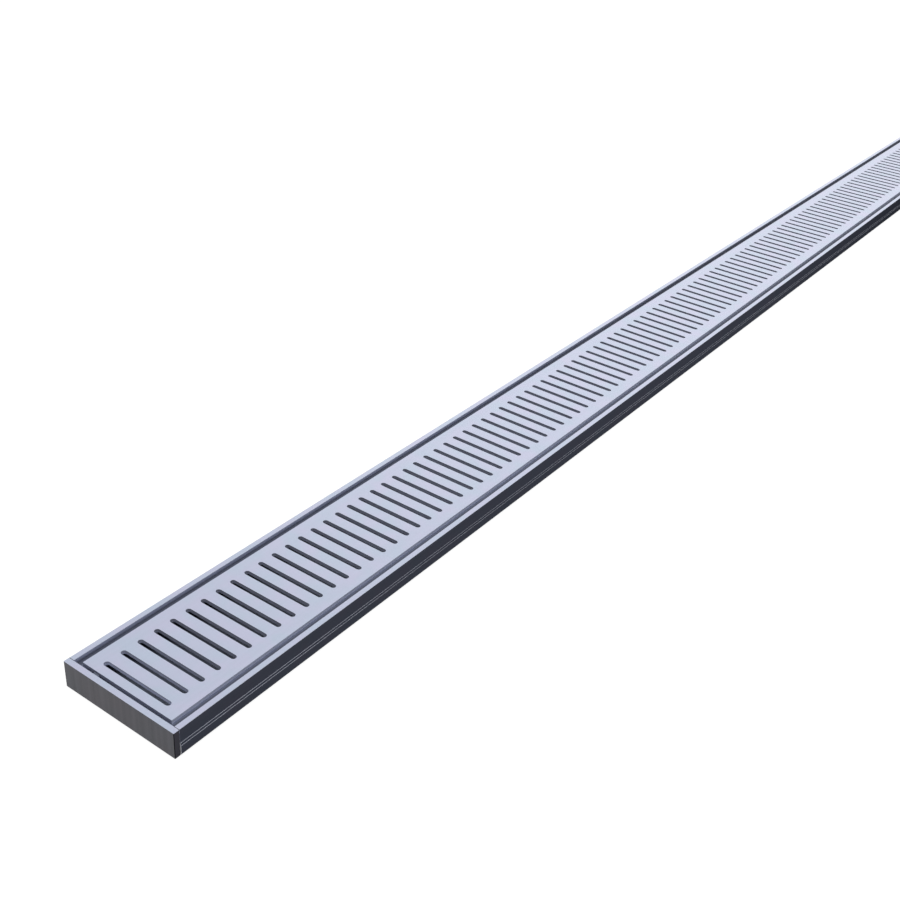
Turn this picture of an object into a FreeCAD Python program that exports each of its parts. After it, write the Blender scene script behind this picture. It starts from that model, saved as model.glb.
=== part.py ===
import FreeCAD, Part
import math
import os

# Channel drain: an extruded trough with two end plates and a slotted grate that lifts out.
# Millimetres. X runs along the drain, Y across it, Z up. The origin is the middle of the base.

# Whole drain
length = 1800.0              # over both end plates
width = 100.0                # over the rims, and of an end plate
height = 21.0                # base to rim

# Channel section
rim_width = 4.4
wall_thickness = 2.2         # side walls below the ledges
floor_thickness = 2.2
ledge_reach = 9.2            # from the rim's inner face towards the middle
ledge_thickness = 2.0
first_step_depth = 11.0      # rim to the upper step on the outside of a wall
second_step_depth = 13.1     # rim to the lower step
step_out = 0.36              # how far each step stands out
base_radius = 1.6            # outer bottom corners
trough_radius = 2.0          # inner bottom corners
ledge_root_radius = 0.8      # under a ledge, where it meets the wall
edge_break = 0.3             # small bevel on the edges of rims, end plates and grate

# Outlet hole, in the middle of the floor
outlet_diameter = 80.0

# Grate
grate_thickness = 3.0
grate_drop = 0.3             # grate top below the rim
side_gap = 5.1               # rim to grate, each side
end_gap = 2.9                # end plate to grate, each end
slot_length = 60.0
slot_width = 4.3
slot_margin = 8.95           # end of the grate to the middle of the first slot
slot_spacing = 14.28         # nearest spacing that fits a whole number of slots is used
slot_end_flats = 6           # a slot's round end is drawn as this many short flats
rib_height = 4.0             # locating ribs under the grate
rib_thickness = 2.0
rib_clearance = 0.4          # rib to ledge

# End plates
plate_thickness = 4.5
seam_bevel = 0.2             # bevel where an end plate meets the channel
plug_length = 6.0            # reaches into the trough
plug_clearance = 0.3         # plug to walls, floor, ledges and ribs
plug_lead = 1.0              # bevel on the plug's tip
stop_width = 4.4             # small stop that keeps the grate from sliding
stop_offset = 26.3           # middle of the drain to the middle of the stop
stop_drop = 1.4              # rim to the top of the stop
stop_clearance = 0.3         # stop to grate

# Seals
seal_thickness = 0.8
seal_lip = 0.9               # metal left outside the seal's groove
seal_land = 0.1              # seal's inner edge to the inner face of the wall

overcut = 1.0                # how far a cutting shape passes a face that it cuts through

# Places worked out from the sizes
half_width = width / 2
rim_inner = half_width - rim_width
wall_inner = half_width - wall_thickness
ledge_inner = rim_inner - ledge_reach
ledge_top = height - grate_drop - grate_thickness
ledge_under = ledge_top - ledge_thickness
plate_inner = length / 2 - plate_thickness
grate_half_width = rim_inner - side_gap
grate_half_length = plate_inner - end_gap
grate_top = height - grate_drop
rib_outer = ledge_inner - rib_clearance
rib_under = ledge_top - rib_height


def rounded_face(x, corners):
    """A flat face across the drain at x. Each corner is (y, z, radius)."""
    points = [FreeCAD.Vector(x, y, z) for y, z, radius in corners]
    edges = []
    joints = []
    for i, (y, z, radius) in enumerate(corners):
        corner = points[i]
        to_last = (points[i - 1] - corner).normalize()
        to_next = (points[(i + 1) % len(points)] - corner).normalize()
        if radius == 0:
            joints.append((corner, corner))
            continue
        half_angle = to_last.getAngle(to_next) / 2
        start = corner + to_last * (radius / math.tan(half_angle))
        end = corner + to_next * (radius / math.tan(half_angle))
        inward = (to_last + to_next).normalize()
        middle = corner + inward * (radius / math.sin(half_angle) - radius)
        edges.append(Part.Arc(start, middle, end).toShape())
        joints.append((start, end))
    for i in range(len(joints)):
        start = joints[i][1]
        end = joints[(i + 1) % len(joints)][0]
        if start.distanceToPoint(end) > 1e-6:
            edges.append(Part.LineSegment(start, end).toShape())
    return Part.Face(Part.Wire(Part.__sortEdges__(edges)))


def both_sides(corners):
    """The outline of a symmetric section, from the corners of its +Y half."""
    mirrored = [(-y, z, radius) for y, z, radius in reversed(corners)]
    return corners + mirrored


def along(face, distance):
    """The section extruded along the drain."""
    return face.extrude(FreeCAD.Vector(distance, 0, 0))


def block(x_low, x_high, y_low, y_high, z_low, z_high):
    corner = FreeCAD.Vector(x_low, y_low, z_low)
    return Part.makeBox(x_high - x_low, y_high - y_low, z_high - z_low, corner)


def edges_at(shape, x):
    """The edges of a shape that lie in the plane across the drain at x."""
    return [
        edge
        for edge in shape.Edges
        if abs(edge.BoundBox.XMin - x) < 1e-6 and abs(edge.BoundBox.XMax - x) < 1e-6
    ]


def make_channel():
    """One extrusion: floor, stepped side walls, rims and the two ledges for the grate."""
    first_out = half_width + step_out
    second_out = half_width + 2 * step_out
    bevel = edge_break
    section = both_sides([
        (second_out, 0, base_radius),
        (second_out, height - second_step_depth, 0),
        (first_out, height - second_step_depth, 0),
        (first_out, height - first_step_depth, 0),
        (half_width, height - first_step_depth, 0),
        (half_width, height - bevel, 0),
        (half_width - bevel, height, 0),
        (rim_inner + bevel, height, 0),
        (rim_inner, height - bevel, 0),
        (rim_inner, ledge_top, 0),
        (ledge_inner, ledge_top, 0),
        (ledge_inner, ledge_under, 0),
        (wall_inner, ledge_under, ledge_root_radius),
        (wall_inner, floor_thickness, trough_radius),
    ])
    channel = along(rounded_face(-plate_inner, section), 2 * plate_inner)
    below = FreeCAD.Vector(0, 0, -overcut)
    outlet = Part.makeCylinder(outlet_diameter / 2, floor_thickness + 2 * overcut, below)
    return channel.cut(outlet)


def make_slots():
    """One row of slots with round ends, spread evenly along the grate."""
    run = 2 * (grate_half_length - slot_margin)
    spaces = max(1, round(run / slot_spacing))
    spacing = run / spaces
    radius = slot_width / 2
    straight = slot_length / 2 - radius
    low = ledge_top - overcut
    outline = []
    for side in (1, -1):
        for i in range(slot_end_flats + 1):
            angle = math.pi * i / slot_end_flats
            x = side * radius * math.cos(angle)
            y = side * (straight + radius * math.sin(angle))
            outline.append(FreeCAD.Vector(x, y, low))
    outline.append(outline[0])
    slot = Part.Face(Part.makePolygon(outline))
    slot = slot.extrude(FreeCAD.Vector(0, 0, grate_thickness + 2 * overcut))
    slots = []
    for i in range(spaces + 1):
        place = FreeCAD.Vector(-run / 2 + i * spacing, 0, 0)
        slots.append(slot.translated(place))
    return Part.makeCompound(slots)


def make_grate():
    """A plate with two ribs under it that keep it in the middle, and its slots."""
    bevel = edge_break
    section = both_sides([
        (rib_outer - rib_thickness, ledge_top, 0),
        (rib_outer - rib_thickness, rib_under, 0),
        (rib_outer, rib_under, 0),
        (rib_outer, ledge_top, 0),
        (grate_half_width, ledge_top, 0),
        (grate_half_width, grate_top - bevel, 0),
        (grate_half_width - bevel, grate_top, 0),
    ])
    plate = along(rounded_face(-grate_half_length, section), 2 * grate_half_length)
    return plate.cut(make_slots())


def seal_outline(x):
    """The seal's shape, a thin U that follows the walls and the floor."""
    outer = half_width - seal_lip
    inner = wall_inner + seal_land
    return rounded_face(x, both_sides([
        (outer, seal_lip, 0),
        (outer, ledge_top, 0),
        (inner, ledge_top, 0),
        (inner, floor_thickness - seal_land, 0),
    ]))


def make_near_seal():
    return along(seal_outline(-plate_inner - seal_thickness), seal_thickness)


def make_near_plate():
    """End plate with a plug behind it, a groove for the seal and the stop for the grate."""
    outer_x = -length / 2
    inner_x = -plate_inner
    plate = block(outer_x, inner_x, -half_width, half_width, 0, height)
    long_edges = [edge for edge in plate.Edges if edge.BoundBox.XLength > plate_thickness / 2]
    plate = plate.makeChamfer(edge_break, long_edges)
    plate = plate.makeChamfer(edge_break, edges_at(plate, outer_x))
    plate = plate.makeChamfer(seam_bevel, edges_at(plate, inner_x))
    plate = plate.cut(make_near_seal())

    root_x = outer_x + plate_thickness / 2
    plug_side = wall_inner - plug_clearance
    plug_low = floor_thickness + plug_clearance
    plug_high = min(rib_under, ledge_under) - plug_clearance
    plug_radius = max(trough_radius - plug_clearance, 0)
    plug_tip = inner_x + plug_length
    plug_section = both_sides([
        (plug_side, plug_low, plug_radius),
        (plug_side, plug_high, 0),
    ])
    plug = along(rounded_face(root_x, plug_section), plug_tip - root_x)
    plug = plug.makeChamfer(plug_lead, edges_at(plug, plug_tip))

    stop_tip = inner_x + end_gap - stop_clearance
    stop_left = stop_offset - stop_width / 2
    stop_right = stop_offset + stop_width / 2
    stop = block(root_x, stop_tip, stop_left, stop_right, ledge_top, height - stop_drop)
    return plate.fuse([plug, stop]).removeSplitter()


def turned_end_for_end(shape):
    """The same piece at the far end of the drain."""
    turned = shape.copy()
    turned.rotate(FreeCAD.Vector(0, 0, 0), FreeCAD.Vector(0, 0, 1), 180)
    return turned


near_plate = make_near_plate()
near_seal = make_near_seal()

pieces = {
    "channel_body": make_channel(),
    "grate": make_grate(),
    "near_end_cap": near_plate,
    "far_end_cap": turned_end_for_end(near_plate),
    "near_end_seal": near_seal,
    "far_end_seal": turned_end_for_end(near_seal),
}

os.makedirs("parts", exist_ok=True)
for name, shape in pieces.items():
    shape.exportStep("parts/" + name + ".step")
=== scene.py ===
import bmesh
import bpy
from math import cos, pi, radians, sin
from mathutils import Matrix, Vector


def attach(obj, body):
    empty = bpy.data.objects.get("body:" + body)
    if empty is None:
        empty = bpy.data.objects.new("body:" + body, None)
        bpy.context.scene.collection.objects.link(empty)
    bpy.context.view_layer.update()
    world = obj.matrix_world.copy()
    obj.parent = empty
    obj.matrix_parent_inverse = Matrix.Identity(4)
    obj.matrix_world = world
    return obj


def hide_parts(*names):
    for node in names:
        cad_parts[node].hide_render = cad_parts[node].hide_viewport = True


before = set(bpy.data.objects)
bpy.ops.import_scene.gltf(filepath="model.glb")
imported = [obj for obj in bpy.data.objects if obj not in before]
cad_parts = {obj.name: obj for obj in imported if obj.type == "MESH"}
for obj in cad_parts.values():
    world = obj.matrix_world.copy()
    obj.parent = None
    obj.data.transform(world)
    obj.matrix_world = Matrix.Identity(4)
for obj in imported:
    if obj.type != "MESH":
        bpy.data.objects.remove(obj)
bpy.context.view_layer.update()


# Channel. One long aluminium extrusion: floor, side walls that step out twice, rims, and a
# ledge on each side that carries the grate. It is sawn square at both ends, satin anodised,
# and has a round outlet hole cut through the middle of its floor.

MM = 0.001
length = 1800 * MM
width = 100 * MM
height = 21 * MM
half_width = width / 2
plate_thickness = 4.5 * MM
channel_end = length / 2 - plate_thickness
rim_inner = 45.6 * MM
ledge_inner = 36.4 * MM
ledge_top = 17.7 * MM
ledge_under = 15.7 * MM
wall_inner = 47.8 * MM
floor_top = 2.2 * MM
lower_step = 7.9 * MM
upper_step = 10.0 * MM
step_out = 0.36 * MM
outlet_radius = 40 * MM
outlet_segments = 96

rim_round = 0.2 * MM
base_round = 1.6 * MM
trough_round = 2.0 * MM
ledge_root_round = 0.8 * MM
sawn_edge = 0.2 * MM
seam_shadow_width = 0.35 * MM       # painted shadow line on the rims where an end plate meets them

tiny = 1e-6                  # lengths below this count as none
square_on = 0.9              # a face looks along an axis if its normal reaches this
sharp_angle = radians(35)

half_section = [
    (0, 0),
    (half_width + 2 * step_out, 0),
    (half_width + 2 * step_out, lower_step),
    (half_width + step_out, lower_step),
    (half_width + step_out, upper_step),
    (half_width, upper_step),
    (half_width, height),
    (rim_inner, height),
    (rim_inner, ledge_top),
    (ledge_inner, ledge_top),
    (ledge_inner, ledge_under),
    (wall_inner, ledge_under),
    (wall_inner, floor_top),
    (0, floor_top),
]


def moved_verts(made):
    return [part for part in made["geom"] if isinstance(part, bmesh.types.BMVert)]


def mirrored_section(bm, x, half):
    """A face across the drain at x, from the outline of its left half."""
    points = [bm.verts.new((x, y, z)) for y, z in half]
    for first, second in zip(points, points[1:]):
        bm.edges.new((first, second))
    bmesh.ops.mirror(bm, geom=bm.verts[:] + bm.edges[:], axis="Y", merge_dist=tiny)
    middle = [v for v in bm.verts if abs(v.co.y) < tiny]
    bmesh.ops.dissolve_verts(bm, verts=middle)
    return bmesh.ops.contextual_create(bm, geom=bm.edges[:])["faces"][0]


def extruded(bm, face, distance):
    """Draws the section out along the drain into a closed bar."""
    made = bmesh.ops.extrude_face_region(bm, geom=[face])
    bmesh.ops.translate(bm, verts=moved_verts(made), vec=(distance, 0, 0))
    bmesh.ops.recalc_face_normals(bm, faces=bm.faces[:])


def long_edges(bm, corners):
    """Edges that run along the drain at any of these (y, z) places, on both sides."""
    def at_corner(vert):
        return any(
            abs(abs(vert.co.y) - y) < tiny and abs(vert.co.z - z) < tiny for y, z in corners
        )
    return [
        edge for edge in bm.edges
        if at_corner(edge.verts[0]) and at_corner(edge.verts[1])
        and abs(edge.verts[0].co.x - edge.verts[1].co.x) > tiny
    ]


def cross_edges(bm, x):
    """Edges that lie in the plane across the drain at x."""
    return [edge for edge in bm.edges if all(abs(v.co.x - x) < tiny for v in edge.verts)]


def rounded(bm, edges, radius, segments):
    bmesh.ops.bevel(
        bm, geom=edges, offset=radius, offset_type="OFFSET", segments=segments,
        profile=0.5, affect="EDGES", material=-1, clamp_overlap=True,
    )


def mesh_object(name, bm):
    mesh = bpy.data.meshes.new(name)
    bm.to_mesh(mesh)
    bm.free()
    piece = bpy.data.objects.new(name, mesh)
    bpy.context.scene.collection.objects.link(piece)
    return piece


def finished(piece):
    """Makes the piece's modifiers part of its mesh."""
    graph = bpy.context.evaluated_depsgraph_get()
    mesh = bpy.data.meshes.new_from_object(piece.evaluated_get(graph))
    piece.modifiers.clear()
    piece.data = mesh


def machined(piece, tool, operation):
    """Cuts the tool's shape out of the piece, or joins it on, and clears the tool away."""
    step = piece.modifiers.new(operation, "BOOLEAN")
    step.operation = operation
    step.solver = "EXACT"
    step.object = tool
    finished(piece)
    bpy.data.objects.remove(tool)


def surfaced(piece, materials, zone_of):
    """Gives each face the material that zone_of names, and smooths the rounded edges."""
    names = list(materials)
    for name in names:
        piece.data.materials.append(materials[name])
    for face in piece.data.polygons:
        face.material_index = names.index(zone_of(face.center, face.normal))
    piece.data.shade_smooth()
    piece.data.set_sharp_from_angle(angle=sharp_angle)
    weighted = piece.modifiers.new("even_normals", "WEIGHTED_NORMAL")
    weighted.keep_sharp = True
    finished(piece)


def blank_finish(name):
    """A new material, its nodes, its shader, and the place of each point on the piece."""
    material = bpy.data.materials.new(name)
    material.use_nodes = True
    tree = material.node_tree
    place = tree.nodes.new("ShaderNodeTexCoord").outputs["Object"]
    return material, tree, tree.nodes["Principled BSDF"], place


def speckle(tree, place, per_metre, detail=2.0):
    """A soft random pattern from 0 to 1."""
    noise = tree.nodes.new("ShaderNodeTexNoise")
    noise.inputs["Scale"].default_value = per_metre
    noise.inputs["Detail"].default_value = detail
    tree.links.new(place, noise.inputs["Vector"])
    return noise.outputs["Fac"]


def spread(tree, value, given, wanted):
    """Stretches a value from the given range over the wanted one, and holds it there."""
    stretch = tree.nodes.new("ShaderNodeMapRange")
    for socket, limit in zip(("From Min", "From Max", "To Min", "To Max"), (*given, *wanted)):
        stretch.inputs[socket].default_value = limit
    tree.links.new(value, stretch.inputs["Value"])
    return stretch.outputs["Result"]


def maths(tree, operation, *values):
    """One sum on values that come from nodes or are plain numbers."""
    step = tree.nodes.new("ShaderNodeMath")
    step.operation = operation
    for socket, value in zip(step.inputs, values):
        if isinstance(value, bpy.types.NodeSocket):
            tree.links.new(value, socket)
        else:
            socket.default_value = value
    return step.outputs["Value"]


def two_tone(tree, share, first, second):
    """The first colour where the share is 0, and the second where it is 1."""
    mix = tree.nodes.new("ShaderNodeMix")
    mix.data_type = "RGBA"
    mix.inputs["A"].default_value = (*first, 1)
    mix.inputs["B"].default_value = (*second, 1)
    tree.links.new(share, mix.inputs["Factor"])
    return mix.outputs["Result"]


def shaded(tree, colour, share):
    """The colour times a share, which may pass 1."""
    scale = tree.nodes.new("ShaderNodeVectorMath")
    scale.operation = "SCALE"
    tree.links.new(colour, scale.inputs[0])
    tree.links.new(share, scale.inputs["Scale"])
    return scale.outputs["Vector"]


line_detail = 3.0
line_contrast = (0.3, 0.7)
patch_contrast = (0.35, 0.65)
grain_per_metre = 1500
grain_height = 4e-6
grain_strength = 0.5
roughness_swing = 0.08


def satin(name, colour, metallic, roughness, gloss=0.5, lines=(4, 500, 500), line_depth=0.05,
          tint=(1.0, 1.0, 1.0), patches_per_metre=30, painted_shading=()):
    """Anodised or brushed aluminium: fine lines one way, soft patches and a fine grain, and
    bands of painted light and shade.
    lines is how often the pattern repeats per metre along X, Y and Z, and line_depth is how
    much lighter and darker it makes the metal. tint is the colour of the patches against
    the metal's own. Each band in the last argument is painted light or shade, not dirt: it
    darkens the colour along an axis, from the place where it is darkest to the place where it
    is unshaded, and says how much of the colour is left at the darkest place, so the metal
    beyond the unshaded place is painted lighter. Places are distances from the middle, the
    same on both sides, unless the axis has a + sign."""
    material, tree, shader, place = blank_finish(name)
    shader.inputs["Metallic"].default_value = metallic
    shader.inputs["Specular IOR Level"].default_value = gloss

    drawn_out = tree.nodes.new("ShaderNodeMapping")
    drawn_out.inputs["Scale"].default_value = lines
    tree.links.new(place, drawn_out.inputs["Vector"])
    line_pattern = speckle(tree, drawn_out.outputs["Vector"], 1, line_detail)
    patch_pattern = speckle(tree, place, patches_per_metre)
    grain_pattern = speckle(tree, place, grain_per_metre)

    patch_share = spread(tree, patch_pattern, patch_contrast, (0, 1))
    patches = two_tone(tree, patch_share, colour, [c * t for c, t in zip(colour, tint)])
    line_light = spread(tree, line_pattern, line_contrast, (1 - line_depth, 1 + line_depth))
    surface_colour = shaded(tree, patches, line_light)
    # Each band is painted light or shade: it scales the colour down along one axis.
    for shade_band in painted_shading:
        position = tree.nodes.new("ShaderNodeSeparateXYZ")
        tree.links.new(place, position.inputs["Vector"])
        reached = position.outputs[shade_band["axis"][-1]]
        if not shade_band["axis"].startswith("+"):
            reached = maths(tree, "ABSOLUTE", reached)
        unshaded_share = spread(
            tree, reached, (shade_band["darkest_at"], shade_band["unshaded_at"]), (shade_band["left"], 1),
        )
        surface_colour = shaded(tree, surface_colour, unshaded_share)
    tree.links.new(surface_colour, shader.inputs["Base Color"])

    rough_range = (roughness - roughness_swing, roughness + roughness_swing)
    tree.links.new(spread(tree, grain_pattern, (0, 1), rough_range), shader.inputs["Roughness"])

    bump = tree.nodes.new("ShaderNodeBump")
    bump.inputs["Strength"].default_value = grain_strength
    bump.inputs["Distance"].default_value = grain_height
    tree.links.new(maths(tree, "ADD", line_pattern, grain_pattern), bump.inputs["Height"])
    tree.links.new(bump.outputs["Normal"], shader.inputs["Normal"])
    return material


bright_tops = satin(
    "bright_tops", (0.475, 0.530, 0.650), metallic=1.0, roughness=0.40, line_depth=0.012,
    tint=(1.07, 0.985, 1.02), patches_per_metre=55,
)
# Painted light: the step ledges are a far lighter copy of the wall metal, and are painted
# darker away from the ends, so they are lighter near both ends.
step_edge = satin(
    "step_edge", (0.65, 0.67, 0.77), metallic=0.0, roughness=0.45, line_depth=0.02,
    painted_shading=[dict(
        axis="X", darkest_at=length / 2 - 280 * MM, unshaded_at=length / 2 - 80 * MM, left=0.65,
    )],
)
# Painted shade: the outer walls are a dark copy of the anodised metal, and are painted darker
# still towards the far end.
outer_wall = satin(
    "outer_wall", (0.086, 0.098, 0.133), metallic=0.0, roughness=0.60, gloss=0.0,
    line_depth=0.04, tint=(1.08, 0.99, 1.0), patches_per_metre=60,
    painted_shading=[dict(axis="+X", darkest_at=450 * MM, unshaded_at=0, left=0.62)],
)
# Painted shade: the inner walls and ledges are painted darker towards the far end.
far_gap_painted_shade = dict(axis="+X", darkest_at=50 * MM, unshaded_at=-500 * MM, left=0.60)
# The inner walls also carry painted shade at their foot, in the corner with the ledge.
inner_wall = satin(
    "inner_wall", (0.38, 0.41, 0.55), metallic=0.3, roughness=0.50, line_depth=0.03,
    painted_shading=[
        dict(axis="Z", darkest_at=ledge_top, unshaded_at=ledge_top + 1.5 * MM, left=0.45),
        far_gap_painted_shade,
    ],
)
# Painted shade: the ledges are a darker copy of the anodised metal, painted darker still next
# to the rim wall, where its shadow falls, and towards the far end.
ledge_metal = satin(
    "ledge_metal", (0.170, 0.190, 0.270), metallic=0.2, roughness=0.55, line_depth=0.03,
    painted_shading=[
        dict(
            axis="Y", darkest_at=rim_inner - 3.2 * MM, unshaded_at=rim_inner - 4.6 * MM, left=0.50,
        ),
        far_gap_painted_shade,
    ],
)
# Painted light: the trough metal is lighter within the last 90 mm at each end than along the
# rest.
trough_metal = satin(
    "trough_metal", (0.230, 0.260, 0.340), metallic=0.2, roughness=0.60,
    painted_shading=[dict(
        axis="X", darkest_at=length / 2 - 90 * MM, unshaded_at=length / 2 - 35 * MM, left=0.56,
    )],
)
sawn_metal = satin(
    "sawn_metal", (0.90, 0.90, 0.93), metallic=0.0, roughness=0.50, lines=(300, 300, 60),
)
# Painted shadow: a near-black strip on the rims where an end plate meets them, for the shade in
# the seam.
seam_shadow_paint = satin("seam_shadow_paint", (0.05, 0.053, 0.066), metallic=0.0, roughness=0.50)

bm = bmesh.new()
section = mirrored_section(bm, -channel_end, half_section)
extruded(bm, section, 2 * channel_end)
rims = long_edges(bm, [(half_width, height), (rim_inner, height)])
rounded(bm, rims, rim_round, segments=3)
rounded(bm, long_edges(bm, [(half_width + 2 * step_out, 0)]), base_round, segments=6)
rounded(bm, long_edges(bm, [(wall_inner, floor_top)]), trough_round, segments=6)
rounded(bm, long_edges(bm, [(wall_inner, ledge_under)]), ledge_root_round, segments=4)
sawn_ends = cross_edges(bm, -channel_end) + cross_edges(bm, channel_end)
rounded(bm, sawn_ends, sawn_edge, segments=1)
# Cuts off the strip of rim at each end that gets the painted seam shadow.
for side in (1, -1):
    bmesh.ops.bisect_plane(
        bm, geom=bm.verts[:] + bm.edges[:] + bm.faces[:], dist=tiny,
        plane_co=(side * (channel_end - seam_shadow_width), 0, 0), plane_no=(1, 0, 0),
    )
channel = mesh_object("channel", bm)

bm = bmesh.new()
bmesh.ops.create_cone(
    bm, cap_ends=True, segments=outlet_segments, radius1=outlet_radius, radius2=outlet_radius,
    depth=4 * floor_top,
)
machined(channel, mesh_object("outlet_cutter", bm), "DIFFERENCE")


def channel_zone(centre, normal):
    y = abs(centre.y)
    if abs(normal.x) > square_on and abs(centre.x) > channel_end - tiny:
        return "sawn"
    # The strip of rim that gets the painted seam shadow.
    if abs(centre.x) > channel_end - seam_shadow_width and centre.z > height - rim_round:
        return "seam"
    # Painted highlight: the softened sawn edges on the outer walls take the lighter step and
    # inner-wall metal, a light line along the seam.
    if abs(centre.x) > channel_end - sawn_edge and y > half_width - rim_round:
        return "step" if centre.z < upper_step else "inner"
    if y < wall_inner + tiny and centre.z < ledge_top - tiny:
        return "trough"
    if centre.z > height - tiny:
        return "top"
    if y < rim_inner + rim_round:
        return "ledge" if normal.z > square_on else "inner"
    return "step" if normal.z > square_on else "outside"


surfaced(channel, {
    "top": bright_tops, "outside": outer_wall, "inner": inner_wall,
    "ledge": ledge_metal, "trough": trough_metal, "sawn": sawn_metal, "seam": seam_shadow_paint,
    "step": step_edge,
}, channel_zone)
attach(channel, "root")
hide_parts("channel_body")


# End plates. A flat aluminium plate with softened edges closes each end, flush with the rims.
# A plug behind it reaches into the trough, a groove holds the seal, and a small stop on its
# inner face, level with the ledges, keeps the grate from sliding.

plate_corner = 0.35 * MM
plate_round = 0.12 * MM
seam_round = 0.2 * MM
plug_reach = 6.0 * MM
plug_side = 47.5 * MM
plug_low = 2.5 * MM
plug_high = 13.4 * MM
plug_round = 1.7 * MM
plug_lead = 1.0 * MM
stop_reach = 2.6 * MM
stop_middle = 26.3 * MM
stop_width = 4.4 * MM
stop_top = 19.6 * MM
stop_round = 0.2 * MM
root_depth = 2.0 * MM        # how far the plug and the stop start inside the plate
groove_depth = 0.8 * MM
groove_outer = 49.1 * MM
groove_inner = 47.9 * MM
groove_low = 0.9 * MM
groove_high = 2.1 * MM
cutter_overlap = 0.5 * MM
mostly = 0.5                 # a face leans towards an axis if its normal reaches this
corner_turn = 0.1            # and rounds a corner if it leans this much both ways

groove_section = [
    (0, groove_low),
    (groove_outer, groove_low),
    (groove_outer, ledge_top),
    (groove_inner, ledge_top),
    (groove_inner, groove_high),
    (0, groove_high),
]

# Painted shade: the end plate's outer face is a darker, greyer copy of the anodised metal. Its
# upright grain is its own.
plate_face = satin(
    "plate_face", (0.064, 0.066, 0.079), metallic=0.6, roughness=0.45, lines=(250, 250, 8),
    line_depth=0.20, tint=(1.10, 1.0, 1.0),
)
# Painted shade: the rounded upright corners of the end plate are near black.
plate_edge = satin(
    "plate_edge", (0.008, 0.008, 0.010), metallic=0.0, roughness=0.60, gloss=0.0,
)
# Painted shade: the end plate's sides are a dark copy of the anodised metal.
plate_side = satin(
    "plate_side", (0.098, 0.095, 0.118), metallic=0.0, roughness=0.60, gloss=0.0,
    lines=(120, 120, 5),
)
plate_back = satin("plate_back", (0.34, 0.37, 0.50), metallic=0.2, roughness=0.60)
# Painted shade: the stop's top is a dark copy of the anodised metal, for the shade down in the
# gap.
stop_metal = satin("stop_metal", (0.123, 0.139, 0.190), metallic=0.2, roughness=0.60)


def solid_block(x_low, x_high, y_low, y_high, z_low, z_high):
    bm = bmesh.new()
    middle = ((x_low + x_high) / 2, (y_low + y_high) / 2, (z_low + z_high) / 2)
    size = Matrix.Diagonal((x_high - x_low, y_high - y_low, z_high - z_low, 1))
    bmesh.ops.create_cube(bm, size=1, matrix=Matrix.Translation(middle) @ size)
    return bm


def climb(edge):
    """How much higher one end of the edge is than the other."""
    return abs(edge.verts[0].co.z - edge.verts[1].co.z)


seam_x = -channel_end
outer_x = -length / 2
bm = solid_block(outer_x, seam_x, -half_width, half_width, 0, height)
corners = [edge for edge in cross_edges(bm, outer_x) if climb(edge) > tiny]
rounded(bm, corners, plate_corner, segments=3)
seam = cross_edges(bm, seam_x)
level = [edge for edge in bm.edges if climb(edge) < tiny and edge not in seam]
rounded(bm, level, plate_round, segments=2)
rounded(bm, cross_edges(bm, seam_x), seam_round, segments=2)
near_plate = mesh_object("near_end_plate", bm)

bm = bmesh.new()
groove = mirrored_section(bm, seam_x - groove_depth, groove_section)
extruded(bm, groove, groove_depth + cutter_overlap)
machined(near_plate, mesh_object("seal_groove_cutter", bm), "DIFFERENCE")

bm = solid_block(
    seam_x - root_depth, seam_x + plug_reach, -plug_side, plug_side, plug_low, plug_high,
)
rounded(bm, long_edges(bm, [(plug_side, plug_low)]), plug_round, segments=4)
rounded(bm, cross_edges(bm, seam_x + plug_reach), plug_lead, segments=1)
machined(near_plate, mesh_object("plug", bm), "UNION")

bm = solid_block(
    seam_x - root_depth, seam_x + stop_reach,
    stop_middle - stop_width / 2, stop_middle + stop_width / 2, ledge_top, stop_top,
)
rounded(bm, cross_edges(bm, seam_x + stop_reach), stop_round, segments=2)
machined(near_plate, mesh_object("grate_stop", bm), "UNION")


def plate_zone(centre, normal):
    if abs(centre.x) > channel_end + tiny:
        if normal.z > mostly:
            return "top"
        if abs(normal.x) > corner_turn and abs(normal.y) > corner_turn:
            return "edge"
        return "face" if abs(normal.x) > mostly else "side"
    if stop_top - stop_round < centre.z < stop_top + tiny and normal.z > mostly:
        return "stop"
    return "back"


far_plate = bpy.data.objects.new("far_end_plate", near_plate.data.copy())
far_plate.data.transform(Matrix.Rotation(pi, 4, "Z"))
bpy.context.scene.collection.objects.link(far_plate)
for piece, node in ((near_plate, "near_end_cap"), (far_plate, "far_end_cap")):
    surfaced(piece, {
        "top": bright_tops, "face": plate_face, "edge": plate_edge, "side": plate_side,
        "back": plate_back, "stop": stop_metal,
    }, plate_zone)
    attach(piece, "root")
    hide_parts(node)


# Seals. A thin black rubber gasket, cut to a U, is squeezed in the groove between each end
# plate and the channel. Its shape is right as it comes, so it only gets its rubber here.

mottle_per_metre = 900
darkest_rubber = (0.010, 0.010, 0.011)
palest_rubber = (0.028, 0.028, 0.030)
rubber_roughness = (0.65, 0.85)

rubber, rubber_tree, rubber_shader, rubber_place = blank_finish("seal_rubber_black")
rubber_shader.inputs["Specular IOR Level"].default_value = 0.3
mottle = speckle(rubber_tree, rubber_place, mottle_per_metre)
mottled = two_tone(rubber_tree, mottle, darkest_rubber, palest_rubber)
rubber_tree.links.new(mottled, rubber_shader.inputs["Base Color"])
rubber_rough = spread(rubber_tree, mottle, (0, 1), rubber_roughness)
rubber_tree.links.new(rubber_rough, rubber_shader.inputs["Roughness"])
for node in ("near_end_seal", "far_end_seal"):
    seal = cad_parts[node]
    seal.data.materials.clear()
    seal.data.materials.append(rubber)


# Grate. A flat aluminium plate with a row of round-ended cross slots punched through it, and
# two ribs under it that keep it in the middle of the ledges. It only rests there, a little
# below the rims, and lifts out. Its upper edges and the mouths of the slots are softened.

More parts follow.
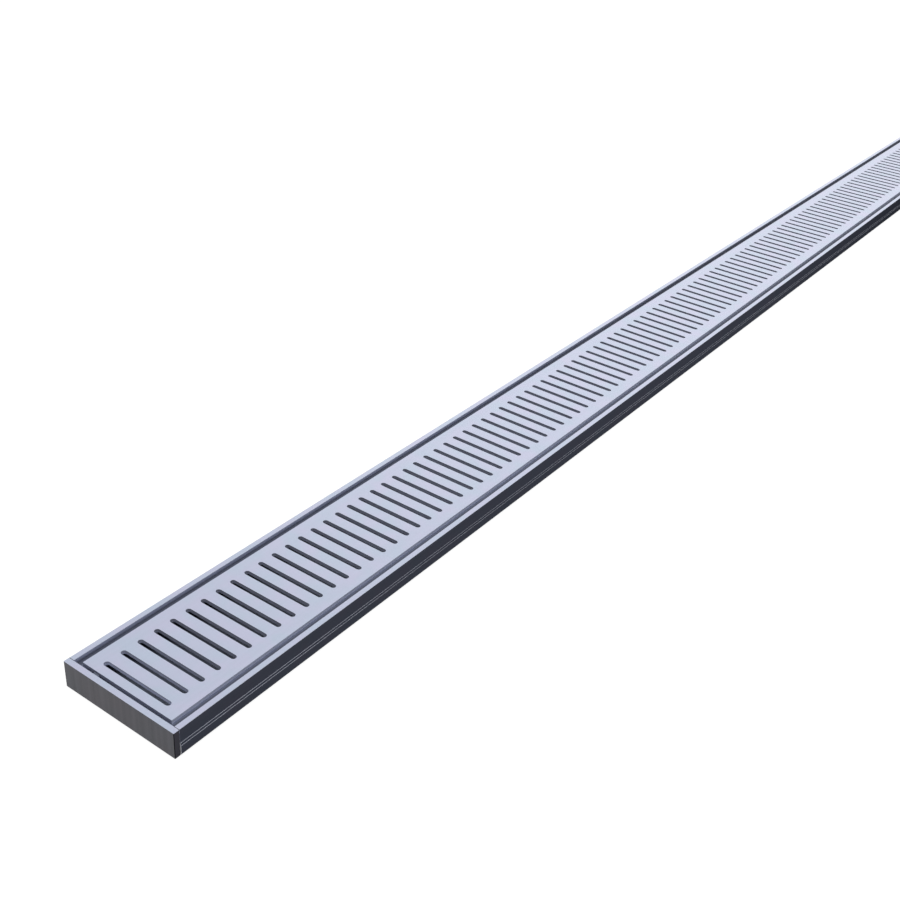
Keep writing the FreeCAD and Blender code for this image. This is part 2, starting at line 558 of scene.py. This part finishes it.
grate_half_width = 40.5 * MM
grate_half_length = 892.6 * MM
grate_top = 20.7 * MM
grate_under = ledge_top
grate_round = 0.3 * MM
grate_round_steps = 3
end_round = 0.2 * MM
rib_outer = 36.0 * MM
rib_inner = 34.0 * MM
rib_under = 13.7 * MM
slot_radius = 2.15 * MM
slot_straight = 30 * MM - slot_radius
slot_count = 125
slot_run = 1767.3 * MM
slot_pitch = slot_run / (slot_count - 1)
slot_end_steps = 8
mouth_round = 0.08 * MM
softened_edge = 0.3          # a face that looks up this much still belongs to the top

# Painted light: the grate's sides are a lighter copy of the anodised metal, painted lighter
# still towards their foot, where shade would fall.
grate_side = satin(
    "grate_side", (0.76, 0.81, 0.98), metallic=0.2, roughness=0.50, line_depth=0.02,
    painted_shading=[dict(axis="Z", darkest_at=grate_top, unshaded_at=grate_under + 0.5 * MM, left=0.68)],
)
# Painted shade: the grate's ends are a darker copy of the anodised metal.
grate_end = satin(
    "grate_end", (0.29, 0.31, 0.40), metallic=0.2, roughness=0.50, lines=(500, 4, 500),
)
# Painted light: the slot walls are a light copy of the metal, painted lighter in the last few
# slots at each end and lower down in each slot, where shade would fall.
slot_wall = satin(
    "slot_wall", (0.69, 0.74, 0.95), metallic=0.1, roughness=0.55, lines=(300, 300, 300),
    painted_shading=[
        dict(
            axis="X", darkest_at=length / 2 - 60 * MM, unshaded_at=length / 2 - 15 * MM, left=0.53,
        ),
        dict(axis="Z", darkest_at=grate_top, unshaded_at=grate_top - 2 * MM, left=0.40),
    ],
)
# Painted light: the ribs are a lighter copy of the metal under the grate.
rib_metal = satin("rib_metal", (0.30, 0.33, 0.42), metallic=0.2, roughness=0.60)


def slot_ring(bm, radius, z):
    """A loop of edges with the outline of one slot, two radii wide."""
    tips = []
    for side in (1, -1):
        centre = (0, side * slot_straight, z)
        start = bm.verts.new((side * radius, side * slot_straight, z))
        arc = bmesh.ops.spin(
            bm, geom=[start], cent=centre, axis=(0, 0, 1), dvec=(0, 0, 0), angle=pi,
            steps=slot_end_steps, use_merge=False, use_duplicate=False,
        )
        last = next(part for part in arc["geom_last"] if isinstance(part, bmesh.types.BMVert))
        tips.append((start, last))
    bm.edges.new((tips[0][1], tips[1][0]))
    bm.edges.new((tips[1][1], tips[0][0]))
    return [edge for edge in bm.edges if all(abs(v.co.z - z) < tiny for v in edge.verts)]


# One slot's share of the plate is made first: the slot, from its softened mouth down, then the
# plate's sides and ribs, and then the flat faces round the slot on top and below.

bm = bmesh.new()
mouth_turn = pi / 4
slot_levels = [
    (slot_radius + mouth_round, grate_top),
    (slot_radius + mouth_round * (1 - cos(mouth_turn)),
     grate_top - mouth_round * (1 - sin(mouth_turn))),
    (slot_radius, grate_top - mouth_round),
    (slot_radius, grate_under + mouth_round),
    (slot_radius + mouth_round, grate_under),
]
rings = [slot_ring(bm, radius, z) for radius, z in slot_levels]
for upper, lower in zip(rings, rings[1:]):
    bmesh.ops.bridge_loops(bm, edges=upper + lower)

half_pitch = slot_pitch / 2
turns = [step * pi / 2 / grate_round_steps for step in range(1, grate_round_steps + 1)]
side_profile = [(grate_half_width - grate_round, grate_top)]
side_profile += [
    (grate_half_width - grate_round * (1 - sin(turn)),
     grate_top - grate_round * (1 - cos(turn)))
    for turn in turns
]
side_profile += [
    (grate_half_width, grate_under),
    (rib_outer, grate_under),
    (rib_outer, rib_under),
    (rib_inner, rib_under),
    (rib_inner, grate_under),
]
top_edges = []
under_edges = []
for side in (1, -1):
    y, z = side_profile[0]
    corners = [bm.verts.new((x, side * y, z)) for x in (-half_pitch, half_pitch)]
    edge = bm.edges.new(corners)
    top_edges.append(edge)
    for (y, z), (next_y, next_z) in zip(side_profile, side_profile[1:]):
        made = bmesh.ops.extrude_edge_only(bm, edges=[edge])
        corners = moved_verts(made)
        bmesh.ops.translate(bm, verts=corners, vec=(0, side * (next_y - y), next_z - z))
        edge = next(e for e in corners[0].link_edges if e.other_vert(corners[0]) is corners[1])
    under_edges.append(edge)
for edges in (top_edges, under_edges):
    ends = {}
    for edge in edges:
        for vert in edge.verts:
            ends.setdefault(vert.co.x > 0, []).append(vert)
    edges += [bm.edges.new(pair) for pair in ends.values()]
bmesh.ops.triangle_fill(bm, use_beauty=True, edges=top_edges + rings[0], normal=(0, 0, 1))
bmesh.ops.triangle_fill(bm, use_beauty=True, edges=under_edges + rings[-1], normal=(0, 0, -1))

cell = bm.verts[:] + bm.edges[:] + bm.faces[:]
bmesh.ops.translate(bm, verts=bm.verts[:], vec=(-slot_run / 2, 0, 0))
for i in range(1, slot_count):
    copied = bmesh.ops.duplicate(bm, geom=cell)
    bmesh.ops.translate(bm, verts=moved_verts(copied), vec=(i * slot_pitch, 0, 0))
bmesh.ops.remove_doubles(bm, verts=bm.verts[:], dist=tiny)

for side in (1, -1):
    last_x = side * (slot_run / 2 + half_pitch)
    end_x = side * grate_half_length
    made = bmesh.ops.extrude_edge_only(bm, edges=cross_edges(bm, last_x))
    bmesh.ops.translate(bm, verts=moved_verts(made), vec=(end_x - last_x, 0, 0))
    bmesh.ops.contextual_create(bm, geom=cross_edges(bm, end_x))
bmesh.ops.recalc_face_normals(bm, faces=bm.faces[:])
for side in (1, -1):
    end_edges = [
        edge for edge in cross_edges(bm, side * grate_half_length)
        if all(v.co.z > grate_top - grate_round - tiny for v in edge.verts)
    ]
    rounded(bm, end_edges, end_round, segments=2)
grate = mesh_object("grate_plate", bm)


def grate_zone(centre, normal):
    between_ends = abs(centre.x) < grate_half_length - tiny
    between_ribs = abs(centre.y) < rib_inner - tiny
    if centre.z > grate_top - grate_round and normal.z > softened_edge:
        return "top"
    if between_ribs and between_ends and abs(normal.z) < square_on:
        return "slot"
    if abs(centre.x) > grate_half_length - tiny:
        return "end"
    if abs(centre.y) > rib_outer + tiny:
        return "side" if abs(normal.y) > mostly else "under"
    return "rib" if centre.z < grate_under - tiny else "under"


surfaced(grate, {
    "top": bright_tops, "side": grate_side, "end": grate_end, "slot": slot_wall,
    "under": trough_metal, "rib": rib_metal,
}, grate_zone)
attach(grate, "root")
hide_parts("grate")


# Floor and backdrop. A plain white floor that keeps a faint shadow of the drain, and a white
# world. Both look white to the camera and in the metal's reflections. Under the outlet hole
# the floor is left in shadow, and from below the floor is clear, so that the base can be seen.

floor_drop = 0.3 * MM
floor_reach = 30
floor_grey = 0.22
floor_glow = 0.90
sky_light = 0.55


def in_view(tree):
    """1 for a ray from the camera, also by way of a reflection or glass, and otherwise 0."""
    ray = tree.nodes.new("ShaderNodeLightPath")
    seen = maths(tree, "MAXIMUM", ray.outputs["Is Camera Ray"], ray.outputs["Is Glossy Ray"])
    return maths(tree, "MAXIMUM", seen, ray.outputs["Is Transmission Ray"])


bm = bmesh.new()
bmesh.ops.create_grid(bm, x_segments=1, y_segments=1, size=floor_reach,
                      matrix=Matrix.Translation((0, 0, -floor_drop)))
floor = mesh_object("studio_floor", bm)
floor_paint, floor_tree, matt, floor_place = blank_finish("studio_floor_white")
matt.inputs["Base Color"].default_value = (floor_grey, floor_grey, floor_grey, 1)
matt.inputs["Roughness"].default_value = 1.0
matt.inputs["Specular IOR Level"].default_value = 0.0
matt.inputs["Emission Color"].default_value = (1, 1, 1, 1)
from_middle = floor_tree.nodes.new("ShaderNodeVectorMath")
from_middle.operation = "LENGTH"
floor_tree.links.new(floor_place, from_middle.inputs[0])
outside_outlet = maths(
    floor_tree, "GREATER_THAN", from_middle.outputs["Value"], outlet_radius + floor_drop,
)
open_floor = maths(floor_tree, "MULTIPLY", in_view(floor_tree), outside_outlet)
glow = maths(floor_tree, "MULTIPLY", open_floor, floor_glow)
floor_tree.links.new(glow, matt.inputs["Emission Strength"])
clear = floor_tree.nodes.new("ShaderNodeBsdfTransparent")
from_below = floor_tree.nodes.new("ShaderNodeNewGeometry")
one_sided = floor_tree.nodes.new("ShaderNodeMixShader")
floor_tree.links.new(from_below.outputs["Backfacing"], one_sided.inputs["Fac"])
floor_tree.links.new(matt.outputs["BSDF"], one_sided.inputs[1])
floor_tree.links.new(clear.outputs["BSDF"], one_sided.inputs[2])
floor_surface = floor_tree.nodes["Material Output"].inputs["Surface"]
floor_tree.links.new(one_sided.outputs["Shader"], floor_surface)
floor.data.materials.append(floor_paint)

world = bpy.data.worlds.new("studio_white")
bpy.context.scene.world = world
world.use_nodes = True
sky_tree = world.node_tree
sky = sky_tree.nodes["Background"]
sky.inputs["Color"].default_value = (1, 1, 1, 1)
sky_strength = spread(sky_tree, in_view(sky_tree), (0, 1), (sky_light, 1))
sky_tree.links.new(sky_strength, sky.inputs["Strength"])


# Lamps. A soft lamp hangs over the middle of the drain and is kept out of reflections. A wide,
# slightly warm panel stands beyond the far end, and shows as the sheen on the upper faces.


def soft_lamp(name, place, target, size_x, size_y, watts, in_reflections):
    lamp = bpy.data.lights.new(name, "AREA")
    lamp.shape = "RECTANGLE"
    lamp.size = size_x
    lamp.size_y = size_y
    lamp.energy = watts
    holder = bpy.data.objects.new(name, lamp)
    holder.location = place
    holder.rotation_euler = (Vector(target) - Vector(place)).to_track_quat("-Z", "Y").to_euler()
    holder.visible_glossy = in_reflections
    bpy.context.scene.collection.objects.link(holder)
    return lamp


soft_lamp(
    "overhead", place=(0, 0, 3.0), target=(0, 0, 0),
    size_x=3.5, size_y=2.0, watts=42, in_reflections=False,
)
far_panel = soft_lamp(
    "far_panel", place=(5.2, 2.3, 2.3), target=(0.3, 0, 0),
    size_x=5.5, size_y=3.2, watts=27, in_reflections=True,
)
far_panel.color = (1.0, 0.97, 0.88)
bpy.context.scene.view_settings.view_transform = "Standard"


# Camera. It stands before the near end, to the right and half a metre up, and looks down along
# the drain, so that the far end runs out of the picture at the upper right.

lens_data = bpy.data.cameras.new("camera")
lens_data.sensor_width = 36
lens_data.lens = 47.920
lens_data.shift_x = 0.030
lens_data.shift_y = 0.040
lens_data.clip_start = 0.01
lens_data.clip_end = 100
camera = bpy.data.objects.new("camera", lens_data)
camera.location = (-1.24862, -0.45443, 0.54160)
camera.rotation_euler = (radians(57.19897), radians(-3.64449), radians(-53.32220))
bpy.context.scene.collection.objects.link(camera)
bpy.context.scene.camera = camera
